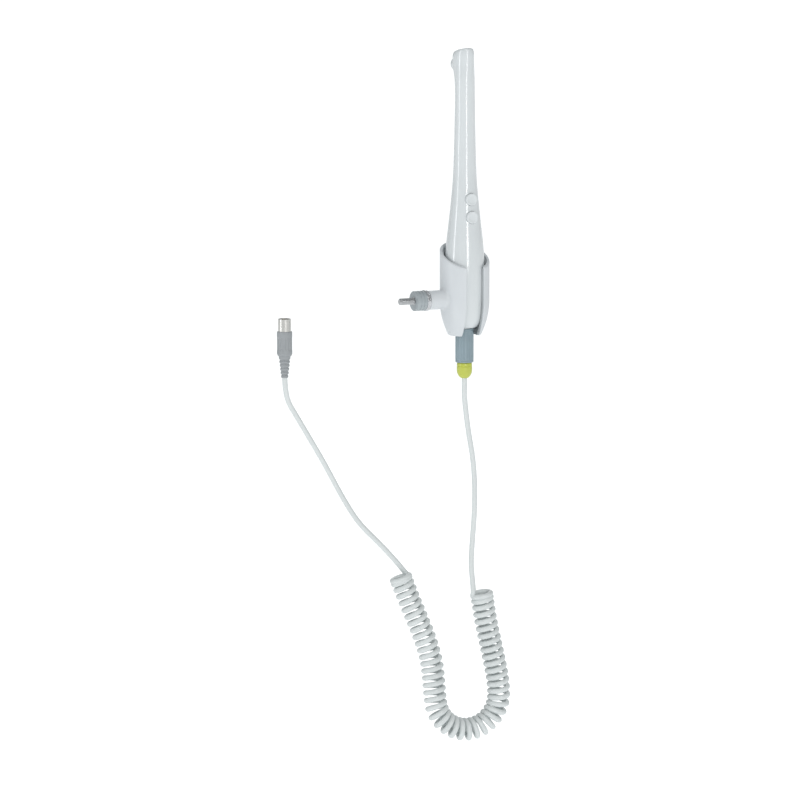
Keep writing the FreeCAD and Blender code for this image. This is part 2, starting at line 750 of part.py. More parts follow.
def far_plug():
    """The round plug that goes up into the back of the monitor."""
    across, back, end = (str(size) for size in MONITOR_LEAD[-1])
    grip = f"{end} + far_boot_length"
    top = f"{grip} + far_grip_length"
    at = {"x": across, "y": back}
    turned("far_boot", [
        ("0", "0"),
        ("cord_radius + 0.6", "0"),
        ("far_grip_radius - 1.2", "far_boot_length"),
        ("0", "far_boot_length"),
    ], z=end, **at)
    turned("far_grip", [
        ("0", "0"),
        ("far_grip_radius - 0.6", "0"),
        ("far_grip_radius", "1.5"),
        ("far_grip_radius", "far_grip_length - 0.8"),
        ("far_grip_radius - 0.6", "far_grip_length"),
        ("0", "far_grip_length"),
    ], z=grip, **at)
    turned("far_shell", [
        ("far_shell_radius - far_shell_wall", "0"),
        ("far_shell_radius", "0"),
        ("far_shell_radius", "far_shell_length"),
        ("far_shell_radius - far_shell_wall", "far_shell_length"),
    ], z=top, **at)
    finish(cylinder("far_core", "far_shell_radius - far_shell_wall - 0.05", "3.5", z=top, **at), "far_core")
    group("far_pins", pin_ring("far_pin", "pin_radius", "4.5", f"{top} + 3.5", **at))


def write_parts():
    """Checks every object of the document, then writes one STEP file for each sub-part."""
    SHEET.clear(SCRATCH_CELL)
    doc.recompute()
    for item in doc.Objects:
        if "Invalid" in item.State or "Error" in item.State:
            raise RuntimeError(f"{item.Name} failed: {item.State}")
    for item in finished:
        if item.Shape.isNull() or not item.Shape.isValid() or not item.Shape.Solids:
            raise RuntimeError(f"{item.Label} has no valid solid")
    os.makedirs("parts", exist_ok=True)
    for item in finished:
        item.Shape.exportStep(os.path.join("parts", f"{item.Label}.step"))
    print(f"{len(finished)} sub-parts written")


swivel()
cradle()
shells()
button("capture_button", "capture_height", "capture_surface")
button("mode_button", "mode_height", "mode_surface")
electronics()
optics()
socket()
cable_plug()
lock_ring()
cord()
far_plug()
write_parts()
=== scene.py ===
"""Looks of the intraoral camera: handpiece, cradle, curly cord and plugs, in metres in the CAD frame."""

import json
import math

import bmesh
import bpy
from mathutils import Matrix, Quaternion, Vector


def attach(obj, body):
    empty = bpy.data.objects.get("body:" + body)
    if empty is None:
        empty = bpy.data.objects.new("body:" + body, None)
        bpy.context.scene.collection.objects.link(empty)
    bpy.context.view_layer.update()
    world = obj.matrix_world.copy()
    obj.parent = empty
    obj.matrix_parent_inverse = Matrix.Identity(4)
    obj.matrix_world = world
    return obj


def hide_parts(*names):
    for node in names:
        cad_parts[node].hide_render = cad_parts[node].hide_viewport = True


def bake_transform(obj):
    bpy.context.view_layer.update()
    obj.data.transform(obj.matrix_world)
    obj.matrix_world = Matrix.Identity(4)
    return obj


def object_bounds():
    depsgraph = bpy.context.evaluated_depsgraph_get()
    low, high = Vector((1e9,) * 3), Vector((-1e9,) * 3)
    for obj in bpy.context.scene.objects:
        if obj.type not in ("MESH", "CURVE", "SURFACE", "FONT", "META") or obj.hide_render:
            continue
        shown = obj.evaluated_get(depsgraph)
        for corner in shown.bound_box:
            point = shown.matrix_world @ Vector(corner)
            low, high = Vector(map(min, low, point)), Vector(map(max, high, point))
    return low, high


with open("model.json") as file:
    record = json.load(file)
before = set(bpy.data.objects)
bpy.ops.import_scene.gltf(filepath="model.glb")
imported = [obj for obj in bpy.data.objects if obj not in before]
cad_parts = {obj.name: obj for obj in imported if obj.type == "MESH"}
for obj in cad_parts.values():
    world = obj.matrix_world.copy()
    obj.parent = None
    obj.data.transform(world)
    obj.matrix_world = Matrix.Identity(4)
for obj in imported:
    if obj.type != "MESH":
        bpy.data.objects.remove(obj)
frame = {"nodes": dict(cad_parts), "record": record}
CAD_LOW, CAD_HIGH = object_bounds()
NODES = frame["nodes"]
MM = 0.001
CLOSE = 0.001  # sizes this near each other, in millimetres, are the same
AXIS_X = 42.0  # the handpiece's axis, in millimetres from the mounting face

# ---------------------------------------------------------------- camera, light and floor

CAMERA_AZIMUTH = -27.9
CAMERA_ELEVATION = 7.5
CAMERA_DISTANCE = 3.3
FRAME_HEIGHT = 0.585  # metres that the picture takes in, at the object
LIGHT_AIM = (0.02, 0.0, -0.02)
WORLD_COLOUR = (0.95, 0.98, 0.985, 1.0)
WORLD_LIT, WORLD_SEEN = 0.42, 1.05  # strength as a light, and to the eye
FLOOR_GAP = 0.03  # metres; the object hangs, and the floor is this far under its lowest point
FLOOR_REACH = 40.0  # metres
FLOOR_COLOURS = (0.86, 0.87, 0.88), (0.88, 0.89, 0.90)
FLOOR_GLOW = (0.98, 0.99, 0.99, 1.0)
GLOW_LIT, GLOW_SEEN = 0.45, 0.75


def place_camera():
    middle = (CAD_LOW + CAD_HIGH) / 2
    turn, lift = math.radians(CAMERA_AZIMUTH), math.radians(CAMERA_ELEVATION)
    level = math.cos(lift)
    back = Vector((math.sin(turn) * level, -math.cos(turn) * level, math.sin(lift)))
    data = bpy.data.cameras.new("camera")
    data.sensor_width = 36.0
    data.lens = data.sensor_width * CAMERA_DISTANCE / FRAME_HEIGHT
    data.clip_end = 50.0
    camera = bpy.data.objects.new("camera", data)
    bpy.context.collection.objects.link(camera)
    camera.location = middle + back * CAMERA_DISTANCE
    camera.rotation_mode = "QUATERNION"
    camera.rotation_quaternion = (-back).to_track_quat("-Z", "Y")
    bpy.context.scene.camera = camera


def area_light(name, place, size, power, colour):
    data = bpy.data.lights.new(name, "AREA")
    data.shape = "RECTANGLE"
    data.size, data.size_y = size
    data.energy = power
    data.color = colour
    light = bpy.data.objects.new(name, data)
    bpy.context.collection.objects.link(light)
    light.location = place
    light.rotation_mode = "QUATERNION"
    light.rotation_quaternion = (Vector(LIGHT_AIM) - Vector(place)).to_track_quat("-Z", "Y")


def strength_of(tree, lit, seen):
    """A strength that is one number as a light and another to the eye."""
    node = tree.nodes.new("ShaderNodeMapRange")
    node.inputs["To Min"].default_value = lit
    node.inputs["To Max"].default_value = seen
    ray = tree.nodes.new("ShaderNodeLightPath").outputs["Is Camera Ray"]
    tree.links.new(ray, node.inputs["Value"])
    return node.outputs["Result"]


def light_studio():
    """Two tall soft lights that draw the stripes down the handpiece, one behind, and a pale world."""
    area_light("key", (-0.3, -2.0, 0.8), (0.3, 1.8), 15.0, (1.0, 0.99, 0.98))
    area_light("side", (-2.0, 0.2, 0.5), (0.3, 1.6), 7.5, (0.97, 0.985, 1.0))
    area_light("back", (1.0, 1.7, 0.9), (0.9, 0.9), 4.0, (1.0, 1.0, 1.0))
    world = bpy.data.worlds.new("studio")
    world.use_nodes = True
    tree = world.node_tree
    sky = tree.nodes["Background"]
    sky.inputs["Color"].default_value = WORLD_COLOUR
    tree.links.new(strength_of(tree, WORLD_LIT, WORLD_SEEN), sky.inputs["Strength"])
    bpy.context.scene.world = world
    bpy.context.scene.view_settings.view_transform = "Standard"


place_camera()
light_studio()

# ---------------------------------------------------------------- materials


def new_tree(name):
    """A new material with its shader, its node tree and the object coordinates."""
    material = bpy.data.materials.new(name)
    material.use_nodes = True
    tree = material.node_tree
    coords = tree.nodes.new("ShaderNodeTexCoord").outputs["Object"]
    return material, tree, tree.nodes["Principled BSDF"], coords


def stretched(tree, coords, scale):
    mapping = tree.nodes.new("ShaderNodeMapping")
    mapping.inputs["Scale"].default_value = scale
    tree.links.new(coords, mapping.inputs["Vector"])
    return mapping.outputs["Vector"]


def noise(tree, coords, scale, detail=3.0):
    node = tree.nodes.new("ShaderNodeTexNoise")
    node.inputs["Scale"].default_value = scale
    node.inputs["Detail"].default_value = detail
    tree.links.new(coords, node.inputs["Vector"])
    return node.outputs["Fac"]


def between(tree, factor, low, high):
    """A number that goes from low to high with a noise."""
    node = tree.nodes.new("ShaderNodeMapRange")
    node.inputs["From Min"].default_value = 0.3
    node.inputs["From Max"].default_value = 0.7
    node.inputs["To Min"].default_value = low
    node.inputs["To Max"].default_value = high
    tree.links.new(factor, node.inputs["Value"])
    return node.outputs["Result"]


def tinted(tree, factor, dark, light):
    """A colour that goes from dark to light with a noise."""
    node = tree.nodes.new("ShaderNodeMix")
    node.data_type = "RGBA"
    node.inputs["A"].default_value = (*dark, 1.0)
    node.inputs["B"].default_value = (*light, 1.0)
    tree.links.new(between(tree, factor, 0.0, 1.0), node.inputs["Factor"])
    return node.outputs["Result"]


def bumped(tree, shader, height, depth):
    node = tree.nodes.new("ShaderNodeBump")
    node.inputs["Distance"].default_value = depth
    tree.links.new(height, node.inputs["Height"])
    tree.links.new(node.outputs["Normal"], shader.inputs["Normal"])


def moulded(name, colour, rough, spread=0.03, grain=2600.0, depth=0.00002, coat=0.0, dull=0.0):
    """Moulded plastic or rubber: faint cloudiness, uneven gloss and a fine grain."""
    material, tree, shader, coords = new_tree(name)
    cloud = noise(tree, coords, 45.0)
    dark = [value * (1.0 - spread) for value in colour]
    light = [min(1.0, value * (1.0 + spread)) for value in colour]
    tree.links.new(tinted(tree, cloud, dark, light), shader.inputs["Base Color"])
    smear = noise(tree, coords, 160.0, detail=5.0)
    gloss = between(tree, smear, rough * 0.92, min(1.0, rough * 1.1 + dull))
    tree.links.new(gloss, shader.inputs["Roughness"])
    bumped(tree, shader, noise(tree, coords, grain, detail=2.0), depth)
    shader.inputs["IOR"].default_value = 1.5
    if coat:
        shader.inputs["Coat Weight"].default_value = coat
        shader.inputs["Coat Roughness"].default_value = 0.08
    return material


def metal(name, colour, rough, along=(1.0, 1.0, 1.0), grain=900.0, depth=0.000006):
    """Turned or drawn metal, with fine lines across the direction in which its grain is stretched."""
    material, tree, shader, coords = new_tree(name)
    shader.inputs["Metallic"].default_value = 1.0
    lines = noise(tree, stretched(tree, coords, along), grain, detail=4.0)
    dark = [value * 0.88 for value in colour]
    tree.links.new(tinted(tree, lines, dark, colour), shader.inputs["Base Color"])
    tree.links.new(between(tree, lines, rough * 0.8, rough * 1.3), shader.inputs["Roughness"])
    bumped(tree, shader, lines, depth)
    return material


def clear_glass(name, colour, rough):
    """Coated optical glass with the faintest film of dust."""
    material, tree, shader, coords = new_tree(name)
    shader.inputs["Base Color"].default_value = (*colour, 1.0)
    shader.inputs["Transmission Weight"].default_value = 1.0
    shader.inputs["IOR"].default_value = 1.52
    shader.inputs["Coat Weight"].default_value = 0.6
    dust = noise(tree, coords, 900.0, detail=4.0)
    tree.links.new(between(tree, dust, rough, rough * 2.5), shader.inputs["Roughness"])
    return material


def board(name, mask, copper):
    """Solder mask over copper tracks."""
    material, tree, shader, coords = new_tree(name)
    cells = tree.nodes.new("ShaderNodeTexVoronoi")
    cells.distance = "MANHATTAN"
    cells.inputs["Scale"].default_value = 450.0
    tree.links.new(coords, cells.inputs["Vector"])
    tree.links.new(tinted(tree, cells.outputs["Distance"], mask, copper), shader.inputs["Base Color"])
    shader.inputs["Roughness"].default_value = 0.35
    bumped(tree, shader, cells.outputs["Distance"], 0.00003)
    return material


MOULDED = {
    # colour, roughness, cloudiness, fineness and depth (in metres) of the grain
    "handpiece_white": ((0.70, 0.735, 0.75), 0.17, 0.010, 900.0, 0.000006),
    "cradle_white": ((0.665, 0.695, 0.72), 0.34, 0.012, 1500.0, 0.000012),
    "button_grey": ((0.72, 0.755, 0.77), 0.30, 0.02, 2200.0, 0.000015),
    "liner_grey": ((0.68, 0.71, 0.72), 0.72, 0.05, 2400.0, 0.00004),
    "swivel_dark": ((0.37, 0.41, 0.43), 0.38, 0.08, 2200.0, 0.00003),
    "lock_slate": ((0.265, 0.345, 0.385), 0.30, 0.09, 2400.0, 0.00003),
    "boot_lime": ((0.54, 0.59, 0.085), 0.30, 0.05, 2400.0, 0.00002),
    "cord_grey": ((0.71, 0.745, 0.745), 0.38, 0.03, 2600.0, 0.00002),
    "plug_grey": ((0.34, 0.36, 0.375), 0.50, 0.05, 2600.0, 0.00004),
    "insulator": ((0.02, 0.02, 0.024), 0.45, 0.1),
    "chip_black": ((0.018, 0.018, 0.02), 0.55, 0.12),
    "flex_amber": ((0.62, 0.27, 0.05), 0.25, 0.08),
    "sensor_glass": ((0.03, 0.045, 0.09), 0.08, 0.2),
    "lens_black": ((0.014, 0.014, 0.016), 0.33, 0.1, 1800.0, 0.00002),
    "led_phosphor": ((0.92, 0.84, 0.36), 0.20, 0.04),
}
COATS = {"handpiece_white": 0.6, "boot_lime": 0.25, "sensor_glass": 1.0, "led_phosphor": 0.8}
DULLED = {"swivel_dark": 0.06, "lock_slate": 0.08}  # added to the roughness where it is smeared
LOOKS = {
    name: moulded(name, *values, coat=COATS.get(name, 0.0), dull=DULLED.get(name, 0.0))
    for name, values in MOULDED.items()
}
LOOKS.update({
    "steel": metal("steel", (0.56, 0.57, 0.58), 0.30, along=(8.0, 1.0, 1.0)),
    "bright_ring": metal("bright_ring", (0.66, 0.67, 0.69), 0.20, along=(10.0, 1.0, 1.0)),
    "nickel": metal("nickel", (0.70, 0.69, 0.66), 0.20, along=(1.0, 1.0, 8.0)),
    "gold_contact": metal("gold_contact", (0.90, 0.68, 0.30), 0.18),
    "lens_glass": clear_glass("lens_glass", (0.93, 0.96, 1.0), 0.015),
    "board_green": board("board_green", (0.008, 0.085, 0.04), (0.03, 0.16, 0.08)),
})
SLOTS = {part["node"]: part["material_slot"] for part in frame["record"]["subparts"]}

for node, item in NODES.items():
    for material_slot in item.material_slots:
        material_slot.material = LOOKS[SLOTS[node]]

# ---------------------------------------------------------------- shapes

ALONG = {
    "X": Quaternion((0.0, 1.0, 0.0), math.radians(90.0)),
    "Y": Quaternion((1.0, 0.0, 0.0), math.radians(-90.0)),
    "Z": Quaternion(),
}


def piece(name, mesh, look, sharp=40.0):
    """A new object from a bmesh in millimetres, smooth but for its edges over so many degrees."""
    bmesh.ops.recalc_face_normals(mesh, faces=mesh.faces)
    data = bpy.data.meshes.new(name)
    mesh.to_mesh(data)
    mesh.free()
    data.transform(Matrix.Scale(MM, 4))
    data.shade_smooth()
    data.set_sharp_from_angle(angle=math.radians(sharp))
    item = bpy.data.objects.new(name, data)
    bpy.context.collection.objects.link(item)
    data.materials.append(LOOKS[look])
    return item


def stands_for(item, body, *nodes):
    """The piece rides on the body in place of these CAD nodes."""
    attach(item, body)
    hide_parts(*nodes)
    return item


def bridged(mesh, below, above, around=True):
    """Faces between two rings of vertices; a ring of one vertex is a point on the axis."""
    count = max(len(below), len(above))
    for index in range(count if around else count - 1):
        after = (index + 1) % count
        corners = [below[index % len(below)], below[after % len(below)],
                   above[after % len(above)], above[index % len(above)]]
        mesh.faces.new(dict.fromkeys(corners))


def rounded(corners, steps=5):
    """An outline of (radius, height, rounding) corners, with each rounding as an arc."""
    outline = []
    for index, (radius, height, rounding) in enumerate(corners):
        here = Vector((radius, height))
        if not rounding or index in (0, len(corners) - 1):
            outline.append(here)
            continue
        into = here - Vector(corners[index - 1][:2])
        out = Vector(corners[index + 1][:2]) - here
        turn = into.angle(out)
        trim = min(rounding * math.tan(turn / 2), 0.48 * into.length, 0.48 * out.length)
        start, end = here - into.normalized() * trim, here + out.normalized() * trim
        for step in range(steps + 1):
            share = step / steps
            outline.append(start.lerp(here, share).lerp(here.lerp(end, share), share))
    return outline


def lathe(name, corners, place, along, look, sides=96, closed=False, radius_at=None):
    """A turned piece: corners of (radius, height, rounding), in millimetres over the place."""
    mesh = bmesh.new()
    rings = []
    for radius, height in rounded(corners):
        if radius < 1e-6:
            rings.append([mesh.verts.new((0.0, 0.0, height))])
            continue
        ring = []
        for side in range(sides):
            turn = 2 * math.pi * side / sides
            reach = radius_at(radius, height, turn) if radius_at else radius
            ring.append(mesh.verts.new((reach * math.cos(turn), reach * math.sin(turn), height)))
        rings.append(ring)
    for below, above in zip(rings, rings[1:] + (rings[:1] if closed else [])):
        bridged(mesh, below, above)
    mesh.transform(Matrix.Translation(place) @ ALONG[along].to_matrix().to_4x4())
    return piece(name, mesh, look)


def stepped(low, high, step):
    """Evenly spaced numbers from low to high, about a step apart."""
    count = max(1, round((high - low) / step))
    return [low + (high - low) * index / count for index in range(count + 1)]


def eased(values, places, at):
    """A smooth curve through the values at the places, read at one place between them."""
    index = max(0, min(len(places) - 2, sum(place <= at for place in places) - 1))

    def slope(middle):
        before, after = max(middle - 1, 0), min(middle + 1, len(places) - 1)
        return (values[after] - values[before]) / (places[after] - places[before])

    width = places[index + 1] - places[index]
    share = (at - places[index]) / width
    rest = 1.0 - share
    levels = values[index] * rest * rest * (1 + 2 * share)
    levels += values[index + 1] * share * share * (3 - 2 * share)
    return levels + width * rest * share * (slope(index) * rest - slope(index + 1) * share)


def cut_by(item, tools):
    """Cuts the tools' shapes out of a piece, leaves it in triangles and takes the tools away."""
    for tool in tools:
        modifier = item.modifiers.new("cut", "BOOLEAN")
        modifier.operation = "DIFFERENCE"
        modifier.solver = "EXACT"
        modifier.object = tool
    bpy.context.view_layer.update()
    graph = bpy.context.evaluated_depsgraph_get()
    data = bpy.data.meshes.new_from_object(item.evaluated_get(graph))
    mesh = bmesh.new()
    mesh.from_mesh(data)
    bmesh.ops.triangulate(mesh, faces=mesh.faces, ngon_method="BEAUTY")
    mesh.to_mesh(data)
    mesh.free()
    item.modifiers.clear()
    item.data = data
    data.shade_smooth()
    data.set_sharp_from_angle(angle=math.radians(35.0))
    for tool in tools:
        bpy.data.objects.remove(tool)


# ---------------------------------------------------------------- cord

CORD = 4.0  # diameter
COIL_RADIUS = 6.7  # of the cord's own line in the curly part
PITCH = 5.2
TURN_POINTS = 12
OPEN_TURN = 1.5  # the coil's first and last turns are spread by this much more
CORD_SIDES = 12
ANY_SIDE = Vector((0.3, 1.0, 0.2))  # not along any of the cords
# The coil starts on the side of the lead that comes down to it, and ends on that of the far lead.
COIL_START_SIDE, COIL_END_SIDE = Vector((-1.0, 0.0, 0.0)), Vector((1.0, 0.3, 0.0))

# The cord's route, in millimetres: from the strain relief to where it leaves the handpiece's body,
# on down to the curly part, the middle of the curly part, and up to the plug behind the monitor.
TAIL = [(42.0, 0.0, -55.0), (42.0, 0.0, -65.5), (42.0, 0.0, -74.0), (43.6, 0.0, -86.0)]
LEAD = [
    (43.6, 0.0, -86.0), (45.2, 0.0, -98.0), (49.4, 0.2, -118.0), (51.2, 0.4, -139.0), (51.0, 0.6, -160.0),
    (49.4, 0.9, -180.0), (48.4, 1.3, -198.0), (50.4, 1.7, -212.0),
]
COIL = [
    (58.0, 2.0, -221.0), (61.0, 2.5, -238.0), (65.2, 3.1, -254.5), (69.6, 3.8, -271.0),
    (73.6, 4.6, -287.5), (75.0, 5.6, -303.5), (69.4, 7.0, -315.2), (58.7, 8.6, -322.6),
    (45.7, 10.4, -323.6), (34.0, 12.2, -318.2), (26.5, 14.0, -307.6), (25.6, 15.4, -292.4),
    (24.6, 17.0, -272.0), (20.4, 18.9, -255.5), (14.2, 20.9, -239.0), (7.8, 23.0, -223.0),
    (2.6, 25.0, -208.0),
]
MONITOR_LEAD = [
    (-0.3, 27.0, -195.5), (-13.5, 29.2, -181.0), (-29.0, 32.4, -165.5), (-41.6, 35.2, -144.4),
    (-53.2, 38.0, -121.5), (-65.0, 40.2, -101.0), (-74.6, 42.2, -84.5), (-83.0, 44.0, -70.0),
    (-83.0, 44.0, -54.0),
]


def smooth_line(points, resolution=6):
    """The line of a NURBS spline that has these control points."""
    data = bpy.data.curves.new("route", "CURVE")
    data.dimensions = "3D"
    data.resolution_u = resolution
    spline = data.splines.new("NURBS")
    spline.points.add(len(points) - 1)
    for point, place in zip(spline.points, points):
        point.co = (*place, 1.0)
    spline.order_u = 3
    spline.use_endpoint_u = True
    route = bpy.data.objects.new("route", data)
    mesh = bpy.data.meshes.new_from_object(route)
    line = [vertex.co.copy() for vertex in mesh.vertices]
    bpy.data.objects.remove(route)
    bpy.data.curves.remove(data)
    bpy.data.meshes.remove(mesh)
    return line


def headings_along(line):
    neighbours = zip([line[0]] + line[:-1], line[1:] + [line[-1]])
    return [(after - before).normalized() for before, after in neighbours]


def frames_along(line, side):
    """(heading, side, up) at each point of a line, with as little twist as there can be."""
    frames = []
    last = None
    for heading in headings_along(line):
        if last is not None:
            side = last.rotation_difference(heading) @ side
        side = (side - heading * side.dot(heading)).normalized()
        frames.append((heading, side, heading.cross(side)))
        last = heading
    return frames


def helix(start_side, end_side):
    """The turns of the curly part round the middle line, from one side of it to another."""
    line = smooth_line(COIL, 16)
    frames = frames_along(line, start_side)
    travel = [0.0]
    for before, after in zip(line, line[1:]):
        travel.append(travel[-1] + (after - before).length)
    total = travel[-1]
    _, side, up = frames[-1]
    wanted = math.atan2(end_side.dot(up), end_side.dot(side)) / (2 * math.pi)
    turns = math.floor(total / PITCH) + wanted % 1.0
    count = round(turns * TURN_POINTS)
    reach = COIL_RADIUS / math.cos(math.pi / TURN_POINTS)
    points = []
    at = 0
    for step in range(count + 1):
        share = step / count
        spread = OPEN_TURN * PITCH * (math.exp(-share * turns) - math.exp((share - 1.0) * turns))
        place = share * total + spread - OPEN_TURN * PITCH * (1.0 - 2.0 * share)
        place = min(max(place, 0.0), total)
        while at < len(travel) - 2 and travel[at + 1] < place:
            at += 1
        mix = (place - travel[at]) / (travel[at + 1] - travel[at])
        middle = line[at].lerp(line[at + 1], mix)
        side, up = (frames[at][index].lerp(frames[at + 1][index], mix).normalized() for index in (1, 2))
        turn = 2 * math.pi * turns * share
        points.append(middle + (side * math.cos(turn) + up * math.sin(turn)) * reach)
    return points


def tube(name, line, radius, look):
    """A round tube with closed ends along a line."""
    mesh = bmesh.new()
    _, first, _ = frames_along(line[:2], ANY_SIDE)[0]
    turns = [2 * math.pi * index / CORD_SIDES for index in range(CORD_SIDES)]
    rings = []
    for point, (_, side, up) in zip(line, frames_along(line, first)):
        spokes = [side * math.cos(turn) + up * math.sin(turn) for turn in turns]
        rings.append([mesh.verts.new(point + spoke * radius) for spoke in spokes])
    for below, above in zip(rings, rings[1:]):
        bridged(mesh, below, above)
    bridged(mesh, [mesh.verts.new(line[0])], rings[0])
    bridged(mesh, rings[-1], [mesh.verts.new(line[-1])])
    return piece(name, mesh, look, sharp=60.0)


def make_cords():
    """The short length down from the handpiece, and the long one with the curly part and plug."""
    tail_line = smooth_line(TAIL, 8)
    tail = tube("cord_tail", tail_line, CORD / 2, "cord_grey")
    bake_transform(tail)
    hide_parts("cord_lead_upper")

    turns = helix(COIL_START_SIDE, COIL_END_SIDE)
    main_line = smooth_line(LEAD + turns + MONITOR_LEAD)
    main = tube("cord_main", main_line, CORD / 2, "cord_grey")
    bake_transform(main)
    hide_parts("cord_lead_lower", "cord_curly", "cord_monitor_lead")
    return main, main_line


main_cord, main_line = make_cords()

# ---------------------------------------------------------------- floor

def make_floor():
    """A plain pale floor, a little self-lit so that it stays white far from the lights."""
    material, tree, shader, coords = new_tree("floor_white")
    cloud = noise(tree, coords, 1.5)
    tree.links.new(tinted(tree, cloud, *FLOOR_COLOURS), shader.inputs["Base Color"])
    shader.inputs["Roughness"].default_value = 0.7
    shader.inputs["Emission Color"].default_value = FLOOR_GLOW
    tree.links.new(strength_of(tree, GLOW_LIT, GLOW_SEEN), shader.inputs["Emission Strength"])
    data = bpy.data.meshes.new("floor")
    level = CAD_LOW.z - FLOOR_GAP
    around = ((-1, -1), (1, -1), (1, 1), (-1, 1))
    corners = [(x * FLOOR_REACH, y * FLOOR_REACH, level) for x, y in around]
    data.from_pydata(corners, [], [(0, 1, 2, 3)])
    data.materials.append(material)
    floor = bpy.data.objects.new("floor", data)
    bpy.context.collection.objects.link(floor)


make_floor()

# ---------------------------------------------------------------- handpiece

# Cross-sections from the lower end up: height over the arm's axis, half the width, half the depth,
# how far the section's middle is behind the axis, and its backward slope in degrees.
HANDPIECE = [
    (-21.5, 7.6, 7.6, 0.0, 0.0), (-20.2, 9.7, 9.7, 0.0, 0.0), (-17.0, 11.8, 11.8, 0.0, 0.0),
    (-11.5, 13.5, 13.5, 0.0, 0.0), (-2.0, 14.6, 14.6, 0.0, 0.0), (12.0, 14.9, 14.9, 0.0, 0.0),
    (26.0, 14.55, 14.55, 0.0, 0.0), (39.0, 13.7, 13.7, 0.0, 0.0), (54.0, 12.05, 12.05, 0.0, 0.0),
    (70.0, 10.3, 10.3, 0.0, 0.0), (88.0, 8.75, 8.75, 0.0, 0.0), (108.0, 8.0, 8.0, 0.0, 0.0),
    (130.0, 7.5, 7.5, 0.0, 0.0), (150.0, 7.2, 7.25, 0.05, 0.0), (160.0, 7.25, 7.8, 0.6, 0.0),
    (167.5, 7.3, 9.1, 2.0, 0.0), (173.5, 7.3, 9.6, 2.6, 2.0), (178.3, 7.2, 9.4, 2.5, 9.0),
    (180.9, 6.4, 8.6, 2.4, 13.0), (181.8, 4.9, 7.0, 2.4, 14.0),
]
SHELL_WALL = 1.6
SHELL_FLOOR = 1.9  # thickness at the lower end
WALL_LOW, WALL_HIGH = -17.0, 178.3  # between these heights the wall is even
FLOOR_FLARE = 0.733  # how much of the outside's widening the inside has, below WALL_LOW
ROOF_RISE = 0.54  # how much of the outside's rise the inside has, above WALL_HIGH
TAIL_HOLE = 5.8
SEAM_WIDTH = 0.28  # of the groove between the two halves, on each of them
SEAM_DEPTH = 0.35
TOP_DOME = 0.3
BUTTONS = {"capture_button": (73.0, 11.0), "mode_button": (60.0, 12.4)}  # height, and axis to the face
BUTTON_RADIUS = 4.5
BUTTON_HOLE = 4.7
BUTTON_CUT = (-20.0, 16.0)  # where a hole's cutter starts from front to back, and how long it is
FLANGE_BACK, PLUNGER_END = 5.9, 4.0  # how far from the axis
FLANGE_RADIUS, FLANGE_THICKNESS = BUTTON_RADIUS + 0.7, 0.9
PLUNGER_RADIUS = 1.6
LENS_HEIGHT = 170.5
BEZEL_RADIUS = 5.5
BEZEL_START, BEZEL_END = 6.5, 12.0
BEZEL_CUT = (4.5, 15.0)
BEZEL_GAP = 0.05  # round the window's ring


def grip_sections():
    """(height, half width, half depth, shift, slope) and scale of every ring, from the hole at the
    lower end, up the outside and in over the top."""
    run = [0.0]
    for before, after in zip(HANDPIECE, HANDPIECE[1:]):
        run.append(run[-1] + math.hypot(after[0] - before[0], after[1] - before[1]))
    columns = list(zip(*HANDPIECE))
    places = []
    for low, high in zip(run, run[1:]):
        places += stepped(low, high, min(1.8, (high - low) / 3))[:-1]
    sections = [(HANDPIECE[0], radius / HANDPIECE[0][1]) for radius in (TAIL_HOLE, 6.7, 7.3)]
    sections += [([eased(column, run, place) for column in columns], 1.0) for place in places + run[-1:]]
    sections += [(HANDPIECE[-1], scale) for scale in (0.94, 0.8, 0.6, 0.4, 0.2)]
    return sections


def inside_of(section, scale):
    """The section of the case's inside that belongs to one of its outside."""
    height, width, depth, shift, slope = section
    if height < WALL_LOW:
        first = HANDPIECE[0]
        share = (height - first[0]) / (WALL_LOW - first[0])
        height = first[0] + SHELL_FLOOR + (WALL_LOW - first[0] - SHELL_FLOOR) * share
        radius = TAIL_HOLE + (width * scale - TAIL_HOLE) * FLOOR_FLARE
        return (height, radius, radius, shift, slope), 1.0
    if height > WALL_HIGH:
        height = WALL_HIGH + (height - WALL_HIGH) * ROOF_RISE
    return (height, width - SHELL_WALL, depth - SHELL_WALL, shift, slope), scale


def half_ring(mesh, section, scale, front, sides, groove):
    """Half of one ring of the case, from seam to seam; a groove draws its two ends in."""
    height, width, depth, shift, slope = section
    seam = math.asin(shift / depth)
    first, last = (math.pi + seam, 2 * math.pi - seam) if front else (-seam, math.pi + seam)
    lip = SEAM_WIDTH / width
    turns = [first] + stepped(first + lip, last - lip, (last - first - 2 * lip) / sides) + [last]
    ring = []
    for index, turn in enumerate(turns):
        ends = groove and index in (0, len(turns) - 1)
        reach = scale * (1.0 - SEAM_DEPTH / width if ends else 1.0)
        across, back = reach * width * math.cos(turn), reach * (shift + depth * math.sin(turn))
        up = height - back * math.tan(math.radians(slope)) + TOP_DOME * max(0.0, 1.0 - scale * scale)
        ring.append(mesh.verts.new((AXIS_X + across, back, up)))
    return ring


def half_case(name, front, sides=60):
    """One half of the case, hollow, with its half of the seam's groove, before its holes are cut."""
    mesh = bmesh.new()
    outer, inner = [], []
    for section, scale in grip_sections():
        outer.append(half_ring(mesh, section, scale, front, sides, groove=scale == 1.0))
        inner.append(half_ring(mesh, *inside_of(section, scale), front, sides, groove=False))
    for rings in (outer, inner):
        top = [mesh.verts.new((AXIS_X, 0.0, rings[-1][0].co.z))]
        for below, above in zip(rings, rings[1:] + [top]):
            bridged(mesh, below, above, around=False)
        rings.append(top)
    bridged(mesh, outer[0], inner[0], around=False)
    for end in (0, -1):
        bridged(mesh, [ring[end] for ring in outer], [ring[end] for ring in inner], around=False)
    return piece(name, mesh, "handpiece_white", sharp=35.0)


